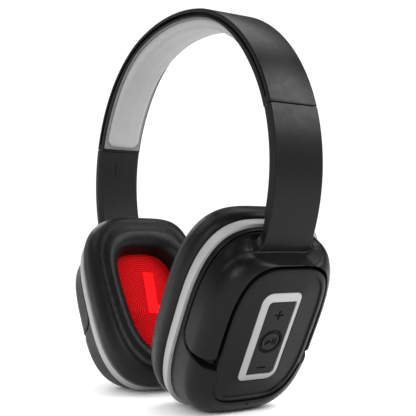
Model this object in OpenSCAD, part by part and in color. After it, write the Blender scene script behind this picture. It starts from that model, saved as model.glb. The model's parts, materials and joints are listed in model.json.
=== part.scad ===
// Over-ear wireless headset: a curved headband, two slide-out arms with U-shaped yokes,
// and two tilting ear cups. X points to the wearer's right, Y to the front and Z up.
// The origin lies on the surface the cups stand on, midway between them.

/* [Headband] */
// Height of the headband's outer surface above the resting surface
band_top_z = 191.7; // [188.7:1:196.7]
// Width of the headband, front to back
band_w = 25.2; // [24:0.2:28]
// Radius of the flat arc over the crown
crown_r = 118; // [112:1:124]
// Angle from the crown to where the side arc starts
crown_ang = 13.7; // [12:0.1:15]
// Radius of the side arcs
side_r = 79.5; // [78:0.5:81]
// Angle of the seam between the headband and each arm
seam_ang = 73.4; // [72:0.2:75]
// Thickness of the headband's outer shell
shell_t = 1.6; // [1.4:0.1:1.8]
// Depth of the headband from its outer surface to the inner frame's inside
band_t = 5.9; // [5.7:0.1:6.3]
// Thickness of the pad under the headband
pad_t = 2.5; // [2:0.1:3.5]

/* [Arms] */
// Direction of the slider, measured from the crown's tangent
slide_ang = 65.5; // [64:0.5:67]
// Length of slider bar stowed inside the headband
bar_in = 26; // [22:1:27]
// Width of the slider bar
bar_w = 14; // [12:0.5:15]
// Thickness of the slider bar
bar_t = 0.8; // [0.6:0.1:0.9]

/* [Ear cups] */
// Distance of each cup's ring centre from the middle of the headset
cup_x = 44.2; // [43:0.2:47]
// Height of each cup's ring centre
cup_z = 44; // [43.8:0.1:44.2]
// How far the headband's middle sits in front of the cups' middle
band_fwd = 3.2; // [0:0.2:5]
// Lean of the cups, bottoms inward
cup_tilt = 30; // [28:1:32]
// Half width of the cup's outline
cup_a = 32.7; // [31:0.1:34]
// Half height of the cup's outline
cup_b = 48.3; // [47:0.1:49]
// Squareness of the cup's outline
cup_n = 3.1; // [2.6:0.1:3.6]
// Height of the cup's face above the trim ring's inner edge
face_h = 27; // [26:0.5:28]
// Radius of the rounding between the cup's side and its face
rim_r = 11; // [9:0.5:12]
// Height of the silver trim ring
ring_h = 4.8; // [4:0.1:5.5]
// Thickness of the ear cushion
cushion_t = 18; // [15:0.5:19]

/* [Yoke and pivot] */
// Thickness of the yoke
yoke_t = 3; // [2.6:0.1:3.2]
// Radial gap between the yoke and the cup under it
yoke_gap = 1; // [0.9:0.1:1.3]
// Height of the yoke's inner edge above the trim ring's inner edge
yoke_h = 8.2; // [7.6:0.1:9]
// Place of the pivot along the cup
pivot_v = 2; // [0:0.5:4]
// Height of the pivot above the trim ring's inner edge
pivot_h = 16; // [15:0.5:17]
// Radius of the pivot pins
pin_r = 2; // [1.8:0.1:2.4]
// Radius of the rounded end of each leg
leg_r = 8.5; // [8:0.1:9]

/* [Controls] */
// Width of the silver control frame
frame_w = 20.2; // [19:0.1:21]
// Length of the silver control frame
frame_l = 44.4; // [42:0.1:46]
// Place of the control frame's centre along the cup
frame_v = 4.9; // [4:0.1:6]
// Radius of the centre button
button_r = 5.5; // [5:0.1:6]
// Place of the centre button along the cup
button_v = 3.4; // [3:0.1:4.5]

/* [Hidden] */

big = 400;
sliver = 0.02;
seam_gap = 0.15;
body_color = [0.09, 0.09, 0.10];
inner_color = [0.16, 0.16, 0.17];
silver_color = [0.75, 0.76, 0.78];
pad_color = [0.65, 0.65, 0.66];
red_color = [0.80, 0.05, 0.05];
mark_color = [0.95, 0.12, 0.10];
steel_color = [0.60, 0.61, 0.63];
board_color = [0.05, 0.30, 0.15];

// Centres of the crown arc and of the right side arc, in the XZ plane
crown_c = [0, band_top_z - crown_r];
side_c = crown_c + (crown_r - side_r) * [sin(crown_ang), cos(crown_ang)];

// Arms
arm_end_ang = 119;
arm_cover_t = 1.8;
bar_mid = 3.1;
bar_arm_ang = 14;
// Point of the bar's middle at the seam, and the sliding direction
seam_p = side_c + (side_r - bar_mid) * [sin(seam_ang), cos(seam_ang)];

// Cup outlines
wall = 2;
side_in = 1.7;
arc_h = face_h - rim_r;
foot_in = 4.6;
foot_h = 11.5;
ring_t = 2.6;
opening_a = 20.5;
opening_top = 30;
opening_bottom = 35.5;
face_a = 23.3;
face_b = 33.4;
face_v = 4.4;
face_t = 3;
seat_h = face_h - face_t;
face_gap = 1.1;
recess_in = yoke_t + yoke_gap;
lip_h = yoke_h - 0.6;
notch_gap = 0.9;
leg_end_gap = 1.5;
post_x = 17;
post_y = 30;
mark_t = 0.3;
board_h = 17.6;
port_u = 9;
port_h = 10;
jack_u = 11;
jack_h = 10.5;
jack_r = 1.75;
jack_len = 13;
mic_v = -30.8;

// ---- Flat outlines ----

// Wedge from the origin between two angles, measured from +Y towards +X
module wedge(a0, a1) {
  m = (a0 + a1) / 2;
  polygon([[0, 0], [big * sin(a0), big * cos(a0)], [big * sin(m), big * cos(m)],
           [big * sin(a1), big * cos(a1)]]);
}

module sector(r_out, r_in, a0, a1) {
  intersection() {
    difference() {
      circle(r = r_out, $fn = 180);
      circle(r = r_in, $fn = 180);
    }
    wedge(a0, a1);
  }
}

// Right-hand strip of the band between two depths below its outer surface
module side_strip(o0, o1, a0, a1) {
  translate(side_c) sector(side_r - o0, side_r - o1, a0, a1);
}

// Whole strip of the band from -a to +a
module band_strip(o0, o1, a) {
  translate(crown_c) sector(crown_r - o0, crown_r - o1, -crown_ang, crown_ang);
  side_strip(o0, o1, crown_ang, a);
  mirror([1, 0]) side_strip(o0, o1, crown_ang, a);
}

// Stands an XZ outline up and gives it a width along Y, y from the headband's middle
module across(w, y = 0) {
  translate([0, band_fwd + y + w / 2, 0]) rotate([90, 0, 0]) linear_extrude(w) children();
}

function spow(t, n) = sign(t) * pow(abs(t), 2 / n);

// Superellipse with separate half heights above and below its centre
function outline(a, top, bottom, n = cup_n, count = 48) =
  [for (i = [0 : count - 1])
    let (t = 360 * i / count, s = sin(t))
      [a * spow(cos(t), n), (s > 0 ? top : bottom) * spow(s, n)]];

function rim_in(h) = h <= arc_h ? 0 : rim_r - sqrt(max(0, rim_r * rim_r - pow(h - arc_h, 2)));
function foot(h) = foot_in * max(0, h - ring_h) / foot_h;

// Outline of the cup's outer surface at height h, inset by d
module cup_outline(h, d = 0) {
  i = side_in + rim_in(h) + d;
  polygon(outline(cup_a - i, cup_b - i, cup_b - i - foot(h)));
}

module slab(h, t = sliver) {
  translate([0, 0, h]) linear_extrude(t) children();
}

// Solid inside the cup's outer surface, inset by d, from h0 to h1
module envelope(h0, h1, d = 0) {
  bends = [for (k = [0, 0.35, 0.62, 0.82, 0.94, 1]) arc_h + k * rim_r];
  hull() {
    slab(h0) cup_outline(h0, d);
    for (h = bends) if (h > h0 && h < h1) slab(h) cup_outline(h, d);
    slab(h1 - sliver) cup_outline(h1, d);
  }
}

// ---- Placing ----

// Cup's own frame: X to the front, Y up along the cup, Z out of its face
module place_cup() {
  translate([cup_x, 0, cup_z]) rotate([0, cup_tilt, 0]) rotate([90, 0, 90]) children();
}

// Keeps what lies above the resting surface, which leaves a small flat foot
module above_floor() {
  difference() {
    children();
    translate([-big / 2, -big / 2, -big]) cube(big);
  }
}

module left() {
  mirror([1, 0, 0]) children();
}

// Along a radius of the right side arc, Z pointing outwards
module on_side(ang, depth, y = 0) {
  r = side_r - depth;
  translate([side_c[0] + r * sin(ang), band_fwd + y, side_c[1] + r * cos(ang)])
    rotate([0, ang, 0]) children();
}

// ---- Headband ----

module headband_shell() color(body_color) {
  side_wall = 1.5;
  across(band_w) band_strip(0, shell_t, seam_ang);
  for (s = [-1, 1]) across(side_wall, s * (band_w - side_wall) / 2) band_strip(0, 3, seam_ang);
}

module headband_frame() color(inner_color) {
  inset = 0.4;
  side_wall = 1.3;
  floor_t = 1.4;
  w = band_w - 2 * inset;
  difference() {
    union() {
      across(w) band_strip(band_t - floor_t, band_t, seam_ang);
      for (s = [-1, 1])
        across(side_wall, s * (w - side_wall) / 2) band_strip(3.1, band_t, seam_ang);
    }
    for (m = [0, 1], y = [-1, 1])
      mirror([m, 0, 0]) on_side(67, band_t + 1, y * 9.1) cylinder(r = 1, h = 4, $fn = 32);
  }
}

module headband_spring() color(steel_color) {
  across(bar_w) band_strip(2.6, 3.3, 50);
}

module headband_pad() color(pad_color) {
  across(21) band_strip(band_t, band_t + pad_t, 71.5);
}

module headband_screws() color(steel_color) {
  for (m = [0, 1], y = [-1, 1])
    mirror([m, 0, 0]) on_side(67, band_t, y * 9.1)
      cylinder(r = 1, h = band_t - shell_t, $fn = 32);
}

// Flat two-core wire beside the spring
module headband_wire() color(inner_color) {
  across(2, 8.6) band_strip(3.5, 4.2, 50);
}

// ---- Arm and yoke ----

// Side view of the legs and bridge: everything above the pivot, and a round end about it
module leg_region(r, below) {
  translate([-big / 2, pivot_v - below, 0]) cube([big, big, big]);
  translate([-big / 2, pivot_v, pivot_h]) rotate([0, 90, 0]) cylinder(r = r, h = big, $fn = 96);
}

module yoke_shell() {
  difference() {
    intersection() {
      envelope(yoke_h, face_h);
      leg_region(leg_r, 0);
    }
    envelope(yoke_h - 1, face_h - yoke_t, yoke_t);
    slab(arc_h, big) translate([0, face_v])
      polygon(outline(face_a + face_gap, face_b + face_gap, face_b + face_gap));
  }
}

module pivot_axis(u0, len, r) {
  for (s = [0, 1]) mirror([s, 0, 0])
    translate([u0, pivot_v, pivot_h]) rotate([0, 90, 0]) cylinder(r = r, h = len, $fn = 48);
}

module yoke() color(body_color) {
  difference() {
    union() {
      difference() {
        across(band_w) side_strip(0, band_t - arm_cover_t, seam_ang + seam_gap, arm_end_ang);
        place_cup() envelope(yoke_h - 1, face_h - yoke_t, yoke_t);
      }
      place_cup() yoke_shell();
    }
    across(bar_w + 0.4)
      side_strip(bar_mid - bar_t / 2 - 0.1, band_t, seam_ang - 1, seam_ang + bar_arm_ang + 0.4);
    place_cup() pivot_axis(cup_a - side_in - yoke_t - 1, 3, pin_r);
    arm_screw_places() cylinder(r = 0.9, h = 2.6, $fn = 32);
  }
}

module arm_screw_places() {
  for (y = [-1, 1]) on_side(79, band_t, y * 9.6) children();
  on_side(103, band_t) children();
}

module arm_cover() color(inner_color) {
  difference() {
    across(band_w - 0.6)
      side_strip(band_t - arm_cover_t + 0.02, band_t, seam_ang + seam_gap, 109);
    arm_screw_places() translate([0, 0, -1]) cylinder(r = 1, h = 4, $fn = 32);
  }
}

// Raised side letter as tall as size, lower left corner at the origin; r = true gives R, otherwise L
module letter(size, r = false) {
  s = size * 0.25;
  square([s, size]);
  if (r) {
    difference() {
      union() {
        translate([0, size * 0.42]) square([size * 0.3, size * 0.58]);
        translate([size * 0.3, size * 0.71]) circle(r = size * 0.29, $fn = 48);
      }
      translate([s, size * 0.42 + s * 0.8]) square([size * 0.05, size * 0.58 - s * 1.6]);
      translate([size * 0.3, size * 0.71]) circle(r = size * 0.29 - s * 0.8, $fn = 48);
    }
    polygon([[size * 0.2, size * 0.45], [size * 0.2 + s, size * 0.45], [size * 0.62, 0],
             [size * 0.62 - s * 1.1, 0]]);
  } else {
    square([size * 0.62, s * 0.85]);
  }
}

// Turned to be read from between the cups, and curved with the arm's cover
module arm_mark(r) color(body_color) {
  size = 8;
  mark_ang = 84.5;
  intersection() {
    on_side(mark_ang, band_t + 1) mirror([0, r ? 1 : 0, 0]) rotate([0, 0, 90])
      translate([-size * 0.3, 0, 0]) linear_extrude(2) letter(size, r);
    across(band_w) side_strip(band_t + 0.02, band_t + mark_t, mark_ang - 10, mark_ang + 10);
  }
}

// Curved where the arm holds it, straight where it slides
module slider_bar() color(steel_color) {
  overlap = 0.6;
  across(bar_w) {
    side_strip(bar_mid - bar_t / 2, bar_mid + bar_t / 2, seam_ang, seam_ang + bar_arm_ang);
    translate(seam_p) rotate(-slide_ang) translate([-bar_in, -bar_t / 2])
      square([bar_in + overlap, bar_t]);
  }
}

module arm_screws() color(steel_color) {
  arm_screw_places() cylinder(r = 0.9, h = 2.5, $fn = 32);
}

module pivot_pins() color(steel_color) {
  place_cup() pivot_axis(cup_a - side_in - yoke_t - 5.5, 7, pin_r);
}

// ---- Ear cup ----

module screw_posts(r, h0, h1) {
  for (x = [-1, 1], y = [-1, 1])
    translate([x * post_x, y * post_y + 1, h0]) cylinder(r = r, h = h1 - h0, $fn = 32);
}

// Region below the legs, leaving clearance round their ends
module below_legs(extra = 0) {
  difference() {
    translate([-big / 2, -big, 0]) cube([big, big + pivot_v - leg_end_gap - extra, big]);
    translate([-big / 2, pivot_v, pivot_h]) rotate([0, 90, 0])
      cylinder(r = leg_r + notch_gap + extra, h = big, $fn = 96);
  }
}

module face_outline(g = 0) {
  translate([0, face_v]) polygon(outline(face_a + g, face_b + g, face_b + g));
}

// Solid of the cup's body under and beside the yoke
module cup_body() {
  envelope(ring_h, seat_h - yoke_gap, recess_in);
  slab(ring_h, lip_h - ring_h) cup_outline(lip_h);
  slab(seat_h - 2, 2) face_outline();
  intersection() {
    envelope(ring_h, face_h);
    below_legs();
  }
}

module housing(right) color(body_color) {
  roof_h = seat_h - 1.6;
  window = [15, 36];
  difference() {
    union() {
      difference() {
        cup_body();
        envelope(ring_h - 1, roof_h, recess_in + wall);
        intersection() {
          envelope(ring_h - 1, roof_h, wall);
          below_legs(wall);
        }
      }
      pivot_axis(cup_a - side_in - recess_in - 5.5, 5, 4.4);
      screw_posts(2.4, ring_h, roof_h + 0.5);
    }
    pivot_axis(cup_a - side_in - recess_in - 7, 9, pin_r + 0.05);
    screw_posts(0.8, ring_h - 1, ring_h + 8);
    slab(seat_h, big) face_outline(0.1);
    if (right) {
      slab(arc_h, big) translate([0, frame_v]) square(window, center = true);
      translate([port_u - 4.6, -cup_b, port_h - 1.7]) cube([9.2, 14, 3.4]);
      translate([0, mic_v, arc_h]) cylinder(r = 0.5, h = big, $fn = 24);
    } else {
      translate([jack_u, -cup_b, jack_h]) rotate([-90, 0, 0])
        cylinder(r = jack_r + 1.4, h = 14, $fn = 48);
    }
  }
}

module faceplate(right) color(body_color) {
  chamfer = 0.8;
  difference() {
    hull() {
      slab(seat_h, face_t - chamfer) face_outline();
      slab(face_h - sliver) face_outline(-chamfer);
    }
    slab(face_h - 2, big) frame_outline(0.05);
    if (right) slab(arc_h, big) translate([0, frame_v]) square([11, 34], center = true);
  }
}

// One corner of the control frame's outline, x and y giving its quarter
module frame_corner(x, y, r, g) {
  rg = max(0.5, r + g);
  translate([x * (frame_w / 2 + g - rg), y * (frame_l / 2 + g - rg)]) circle(r = rg, $fn = 40);
}

// Control frame's outline, grown by g: two wide corners and two tight ones
module frame_outline(g = 0) {
  wide = 5;
  tight = 2;
  translate([0, frame_v]) hull() {
    frame_corner(-1, 1, wide, g);
    frame_corner(1, 1, tight, g);
    frame_corner(1, -1, wide, g);
    frame_corner(-1, -1, tight, g);
  }
}

module silver_frame() color(silver_color) {
  difference() {
    slab(face_h - 2, 2.5) frame_outline();
    slab(face_h - 3, 5) frame_outline(-2.8);
  }
}

// Pad with a plus above the button and a minus below it
module rocker() color(inner_color) {
  pad_h = 1.2;
  post_len = 4.3;
  groove = 0.3;
  stroke = 0.7;
  sign_l = 4;
  difference() {
    union() {
      slab(face_h - pad_h, pad_h) frame_outline(-3.1);
      for (v = [-13.5, 13.5]) translate([0, frame_v + v, face_h - pad_h - post_len])
        cylinder(r = 1.6, h = post_len + 0.1, $fn = 32);
    }
    translate([0, button_v, face_h - 3]) cylinder(r = button_r + 0.25, h = 6, $fn = 64);
    for (v = [-13.4, 13.4]) slab(face_h - groove, 1) translate([0, button_v + v]) {
      square([sign_l, stroke], center = true);
      if (v > 0) square([stroke, sign_l], center = true);
    }
  }
}

// Round button with a play and pause sign cut in its cap
module button() color(inner_color) {
  cap_h = 1.3;
  top = face_h + 0.1;
  sign_h = 3.2;
  difference() {
    translate([0, button_v, top - cap_h]) cylinder(r = button_r, h = cap_h, $fn = 64);
    slab(top - 0.3, 1) translate([-1.9, button_v]) {
      polygon([[-1.1, -sign_h / 2], [1.4, 0], [-1.1, sign_h / 2]]);
      for (x = [2.3, 3.7]) translate([x, 0]) square([0.8, sign_h], center = true);
    }
  }
  translate([0, button_v, 21.7]) cylinder(r = 1.5, h = top - cap_h - 21.65, $fn = 32);
}

module blank_panel() color(inner_color) {
  slab(face_h - 2, 2) frame_outline(-2.8);
}

module trim_ring() color(silver_color) {
  difference() {
    slab(0, ring_h) polygon(outline(cup_a, cup_b, cup_b));
    slab(-1, ring_h + 2) polygon(outline(cup_a - ring_t, cup_b - ring_t, cup_b - ring_t));
  }
}

module baffle() color(inner_color) {
  g = ring_t + 0.1;
  difference() {
    slab(1.6, 2) polygon(outline(cup_a - g, cup_b - g, cup_b - g));
    translate([0, 0, 0]) cylinder(r = 19, h = 6, $fn = 96);
    screw_posts(1, 0, 6);
  }
}

module driver_basket() color(inner_color) {
  difference() {
    union() {
      translate([0, 0, 3.6]) cylinder(r = 20.5, h = 1.6, $fn = 96);
      translate([0, 0, 5.2]) cylinder(r = 17, h = 4.2, $fn = 96);
    }
    translate([0, 0, 3]) cylinder(r = 15.5, h = 5.2, $fn = 96);
    translate([0, 0, 3]) cylinder(r = 8, h = 8, $fn = 64);
  }
}

module driver_magnet() color(steel_color) {
  translate([0, 0, 9.4]) cylinder(r = 11, h = 4.6, $fn = 64);
}

module diaphragm() color(inner_color) {
  translate([0, 0, 3.6]) cylinder(r = 15.4, h = 0.5, $fn = 96);
  translate([0, 0, 4.1]) intersection() {
    translate([0, 0, -9]) sphere(r = 11, $fn = 64);
    cylinder(r = 8, h = 4, $fn = 64);
  }
}

module speaker_cover() color(red_color) {
  grow = 1.2;
  slab(-3.4, 1.2)
    polygon(outline(opening_a + grow, opening_top + grow, opening_bottom + grow));
}

// Turned to be read from between the cups
module side_mark(r) color(mark_color) {
  size = 25.4;
  mirror([r ? 1 : 0, 0, 0]) translate([-3, -8.5, 0]) rotate([0, 0, -7])
    slab(-3.4 - mark_t, mark_t) letter(size, r);
}

module cushion_plate() color(inner_color) {
  difference() {
    slab(-2.2, 2.15) polygon(outline(cup_a - 3.2, cup_b - 3.2, cup_b - 3.2));
    slab(-3, 4) polygon(outline(opening_a - 1, opening_top - 1, opening_bottom - 1));
  }
}

module ear_cushion() color(body_color) {
  low = 0.1;
  difference() {
    hull() {
      slab(-low - 2) polygon(outline(cup_a - 0.6, cup_b - 0.6, cup_b - 0.6));
      slab(-cushion_t * 0.45, cushion_t * 0.1) polygon(outline(cup_a + 0.6, cup_b + 0.4, cup_b + 0.4));
      slab(-cushion_t * 0.85) polygon(outline(cup_a - 3.4, cup_b - 3.4, cup_b - 3.4));
      slab(-cushion_t) polygon(outline(cup_a - 8, cup_b - 8, cup_b - 8));
      slab(-low - sliver) polygon(outline(cup_a - 0.8, cup_b - 0.8, cup_b - 0.8));
    }
    slab(-2.25, 4) polygon(outline(cup_a - 3.1, cup_b - 3.1, cup_b - 3.1));
    slab(-3.45, 4) polygon(outline(opening_a + 1.3, opening_top + 1.3, opening_bottom + 1.3));
    slab(-big, big) polygon(outline(opening_a, opening_top, opening_bottom));
  }
}

module cup_screws() color(steel_color) {
  screw_posts(0.8, 1.5, 11);
  screw_posts(1.6, 0.6, 1.6);
}

// ---- Electronics ----

module board_plate(w, l) {
  color(board_color) slab(board_h, 1) translate([0, frame_v]) square([w, l], center = true);
}

module switch_set() color(inner_color) {
  for (v = [frame_v - 13.5, button_v, frame_v + 13.5]) {
    slab(board_h + 1, 1.6) translate([0, v]) square([6, 6], center = true);
    translate([0, v, board_h + 2.5]) cylinder(r = 1.2, h = 0.5, $fn = 32);
  }
}

module mic_capsule() color(steel_color) {
  translate([0, mic_v, 20.4]) cylinder(r = 2, h = 1.8, $fn = 48);
}

module charge_socket() color(steel_color) {
  depth = 7;
  v0 = -43.7;
  difference() {
    translate([port_u - 4.5, v0, port_h - 1.6]) cube([9, depth, 3.2]);
    translate([port_u - 4.1, v0 - 1, port_h - 1.2]) cube([8.2, depth, 2.4]);
  }
  translate([port_u - 3, v0 + 0.8, port_h - 0.3]) cube([6, depth - 1.5, 0.6]);
}

module jack_socket() color(steel_color) {
  v0 = -43.3;
  translate([jack_u, v0, jack_h]) rotate([-90, 0, 0]) difference() {
    cylinder(r = jack_r + 1.3, h = jack_len + 1, $fn = 64);
    translate([0, 0, -1]) cylinder(r = jack_r, h = jack_len + 1, $fn = 64);
  }
}

module battery_cell() color(silver_color) {
  slab(board_h - 3.4, 3.2) translate([0, frame_v + 1]) offset(r = 1) square([28, 38], center = true);
}

// ---- Sub-parts, each in its place ----

module right_yoke() yoke();
module right_arm_cover() arm_cover();
module right_arm_mark() arm_mark(true);
module right_slider_bar() slider_bar();
module right_arm_screws() arm_screws();
module right_pivot_pins() pivot_pins();
module left_yoke() left() yoke();
module left_arm_cover() left() arm_cover();
module left_arm_mark() left() arm_mark(false);
module left_slider_bar() left() slider_bar();
module left_arm_screws() left() arm_screws();
module left_pivot_pins() left() pivot_pins();
module right_housing() above_floor() place_cup() housing(true);
module right_faceplate() place_cup() faceplate(true);
module right_silver_frame() place_cup() silver_frame();
module right_trim_ring() above_floor() place_cup() trim_ring();
module right_baffle() place_cup() baffle();
module right_driver_basket() place_cup() driver_basket();
module right_driver_magnet() place_cup() driver_magnet();
module right_diaphragm() place_cup() diaphragm();
module right_speaker_cover() place_cup() speaker_cover();
module right_side_mark() place_cup() side_mark(true);
module right_cushion_plate() place_cup() cushion_plate();
module right_ear_cushion() place_cup() ear_cushion();
module right_cup_screws() place_cup() cup_screws();
module left_housing() left() above_floor() place_cup() housing(false);
module left_faceplate() left() place_cup() faceplate(false);
module left_silver_frame() left() place_cup() silver_frame();
module left_trim_ring() left() above_floor() place_cup() trim_ring();
module left_baffle() left() place_cup() baffle();
module left_driver_basket() left() place_cup() driver_basket();
module left_driver_magnet() left() place_cup() driver_magnet();
module left_diaphragm() left() place_cup() diaphragm();
module left_speaker_cover() left() place_cup() speaker_cover();
module left_side_mark() left() place_cup() side_mark(false);
module left_cushion_plate() left() place_cup() cushion_plate();
module left_ear_cushion() left() place_cup() ear_cushion();
module left_cup_screws() left() place_cup() cup_screws();
module volume_rocker() place_cup() rocker();
module center_button() place_cup() button();
module main_board() place_cup() board_plate(30, 44);
module button_switches() place_cup() switch_set();
module microphone() place_cup() mic_capsule();
module charging_port() place_cup() charge_socket();
module inlay_panel() left() place_cup() blank_panel();
module battery() left() place_cup() battery_cell();
module battery_board() left() place_cup() board_plate(22, 30);
module audio_jack() left() place_cup() jack_socket();

headband_shell();
headband_frame();
headband_spring();
headband_pad();
headband_screws();
headband_wire();
right_yoke();
right_arm_cover();
right_arm_mark();
right_slider_bar();
right_arm_screws();
right_pivot_pins();
left_yoke();
left_arm_cover();
left_arm_mark();
left_slider_bar();
left_arm_screws();
left_pivot_pins();
right_housing();
right_faceplate();
right_silver_frame();
right_trim_ring();
right_baffle();
right_driver_basket();
right_driver_magnet();
right_diaphragm();
right_speaker_cover();
right_side_mark();
right_cushion_plate();
right_ear_cushion();
right_cup_screws();
left_housing();
left_faceplate();
left_silver_frame();
left_trim_ring();
left_baffle();
left_driver_basket();
left_driver_magnet();
left_diaphragm();
left_speaker_cover();
left_side_mark();
left_cushion_plate();
left_ear_cushion();
left_cup_screws();
volume_rocker();
center_button();
main_board();
button_switches();
microphone();
charging_port();
inlay_panel();
battery();
battery_board();
audio_jack();
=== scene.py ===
import json
import math

import bpy
import numpy as np
from mathutils import Matrix, Vector


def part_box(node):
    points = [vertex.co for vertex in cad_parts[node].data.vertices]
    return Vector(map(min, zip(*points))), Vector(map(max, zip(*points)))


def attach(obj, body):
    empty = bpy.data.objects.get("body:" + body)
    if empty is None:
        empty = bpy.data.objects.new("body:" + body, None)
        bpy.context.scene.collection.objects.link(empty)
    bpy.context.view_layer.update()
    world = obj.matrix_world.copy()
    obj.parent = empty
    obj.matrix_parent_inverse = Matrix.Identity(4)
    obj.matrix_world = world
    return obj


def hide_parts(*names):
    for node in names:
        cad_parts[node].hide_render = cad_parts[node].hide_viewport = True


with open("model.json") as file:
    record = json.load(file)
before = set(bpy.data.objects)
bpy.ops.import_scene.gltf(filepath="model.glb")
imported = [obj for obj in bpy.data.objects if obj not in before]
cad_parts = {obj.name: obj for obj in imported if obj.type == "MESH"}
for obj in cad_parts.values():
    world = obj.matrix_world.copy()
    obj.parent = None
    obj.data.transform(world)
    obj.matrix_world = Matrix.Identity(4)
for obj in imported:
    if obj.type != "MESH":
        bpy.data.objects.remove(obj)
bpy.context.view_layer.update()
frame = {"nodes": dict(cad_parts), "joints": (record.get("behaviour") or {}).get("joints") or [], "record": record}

MM = 0.001

# ---------------------------------------------------------------- sizes, in mm
CROWN_R, SIDE_R = 118.0, 79.5            # the two arcs of the band
CROWN_ANG = math.radians(13.7)
SEAM = math.radians(73.4)
ARM_END = math.radians(121.5)
SEAM_GAP = math.radians(0.15)
BAND_W, BAND_T, COVER_T = 25.2, 5.9, 1.8
RING_H, RING_T = 4.8, 2.6
CUP_A, CUP_B, CUP_N = 32.7, 48.3, 3.1
SIDE_IN, ARC_H, RIM_R = 1.7, 16.0, 11.0
FOOT_IN, FOOT_H = 4.6, 11.5
YOKE_T, YOKE_H, YOKE_GAP = 3.0, 8.2, 1.1
FACE_A, FACE_BACK, FACE_B, FACE_V, FACE_N = 23.3, 22.0, 33.4, 4.4, 4.6
CORNER_N, HEAD_IN, STEP_R = 4.7, 6.1, 2.0
FRAME_W, FRAME_L, FRAME_V = 20.2, 44.4, 4.9
FRAME_R, BEZEL_R, PAD_R = 5.0, 3.2, 2.0  # large corners, then small ones of the bezel and the pad
BUTTON_V, BUTTON_R = 3.4, 5.5
OPEN_A, OPEN_TOP, OPEN_LOW = 18.0, 28.5, 34.5
MIC_V = -30.8

# ---------------------------------------------------------------- places, from the frame


def corners(node):
    lo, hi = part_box(node)
    return np.array(lo) / MM, np.array(hi) / MM


joints = {j["name"]: j for j in frame["joints"]}
OUT = -np.array(joints["center_button_press"]["axis"], float)
UP = np.array([-OUT[2], 0.0, OUT[0]])
ring_lo, ring_hi = corners("right_trim_ring")
CUP = (ring_lo + ring_hi) / 2 - OUT * RING_H / 2
shell_lo, shell_hi = corners("headband_shell")
BAND_TOP, BAND_Y = shell_hi[2], (shell_lo[1] + shell_hi[1]) / 2
CROWN_C = np.array([0.0, BAND_TOP - CROWN_R])
SIDE_C = CROWN_C + (CROWN_R - SIDE_R) * np.array([math.sin(CROWN_ANG), math.cos(CROWN_ANG)])


def to_world(p):
    """Cup coordinates (front, up along the cup, out of its face) to the row frame."""
    p = np.asarray(p, float)
    return CUP + p[:, :1] * [0, 1, 0] + p[:, 1:2] * UP + p[:, 2:3] * OUT


def turn_world(n):
    return n[:, :1] * [0, 1, 0] + n[:, 1:2] * UP + n[:, 2:3] * OUT


# ---------------------------------------------------------------- solids from fields


def smax(a, b, k):
    """The larger of two fields, with the edge between them rounded over about k."""
    m = np.maximum(k - np.abs(a - b), 0) / k
    return np.maximum(a, b) + m * m * k / 4


def smin(a, b, k):
    return -smax(-a, -b, k)


def rounded(r, *q):
    """Field of a box from its distances past each pair of faces, edges rounded to r."""
    q = [x + r for x in q]
    high = q[0]
    for x in q[1:]:
        high = np.maximum(high, x)
    return np.sqrt(sum(np.maximum(x, 0) ** 2 for x in q)) + np.minimum(high, 0) - r


def net(field, lo, hi, cell):
    """Closed quad mesh of field = 0 with its vertices on the surface and their normals."""
    axes = [np.arange(lo[i], hi[i] + cell, cell) for i in range(3)]
    f = np.stack([field(*np.meshgrid([x], axes[1], axes[2], indexing="ij"))[0] for x in axes[0]])
    s = f < 0
    total = sum(
        s[i : s.shape[0] - 1 + i, j : s.shape[1] - 1 + j, k : s.shape[2] - 1 + k].astype(np.int8)
        for i in (0, 1) for j in (0, 1) for k in (0, 1)
    )
    active = (total > 0) & (total < 8)
    at = np.argwhere(active)
    ids = -np.ones(active.shape, np.int64)
    ids[active] = np.arange(len(at))
    points, hits = np.zeros((len(at), 3)), np.zeros(len(at))
    for axis in range(3):
        b, c = (axis + 1) % 3, (axis + 2) % 3
        for db in (0, 1):
            for dc in (0, 1):
                start = at.copy()
                start[:, b] += db
                start[:, c] += dc
                end = start.copy()
                end[:, axis] += 1
                fa, fb = f[tuple(start.T)], f[tuple(end.T)]
                m = (fa < 0) != (fb < 0)
                p = start[m].astype(float)
                p[:, axis] += fa[m] / (fa[m] - fb[m])
                points[m] += p
                hits[m] += 1
    points = np.array(lo) + points / hits[:, None] * cell
    faces = []
    for axis in range(3):
        b, c = (axis + 1) % 3, (axis + 2) % 3
        n = f.shape[axis]
        start_in = s.take(range(n - 1), axis)
        cross = np.argwhere(start_in != s.take(range(1, n), axis))
        ok = (cross[:, b] > 0) & (cross[:, c] > 0)
        ok &= (cross[:, b] < f.shape[b] - 1) & (cross[:, c] < f.shape[c] - 1)
        cross = cross[ok]
        quad = []
        for db, dc in ((1, 1), (0, 1), (0, 0), (1, 0)):
            cell_at = cross.copy()
            cell_at[:, b] -= db
            cell_at[:, c] -= dc
            quad.append(ids[tuple(cell_at.T)])
        quad = np.stack(quad, 1)
        keep = start_in[tuple(cross.T)]
        faces.append(quad[keep])
        faces.append(quad[~keep][:, ::-1])
    faces = np.concatenate(faces)

    def slope(p):
        d = 0.04
        g = np.stack([field(*(p + d * np.eye(3)[i]).T) - field(*(p - d * np.eye(3)[i]).T)
                      for i in range(3)], 1) / (2 * d)
        return g

    for _ in range(3):
        g = slope(points)
        step = field(*points.T)[:, None] * g / np.maximum((g * g).sum(1), 0.2)[:, None]
        points = points - np.clip(step, -cell / 2, cell / 2)
    g = slope(points)
    normals = g / np.maximum(np.linalg.norm(g, axis=1), 1e-9)[:, None]
    return points, faces, normals


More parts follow.
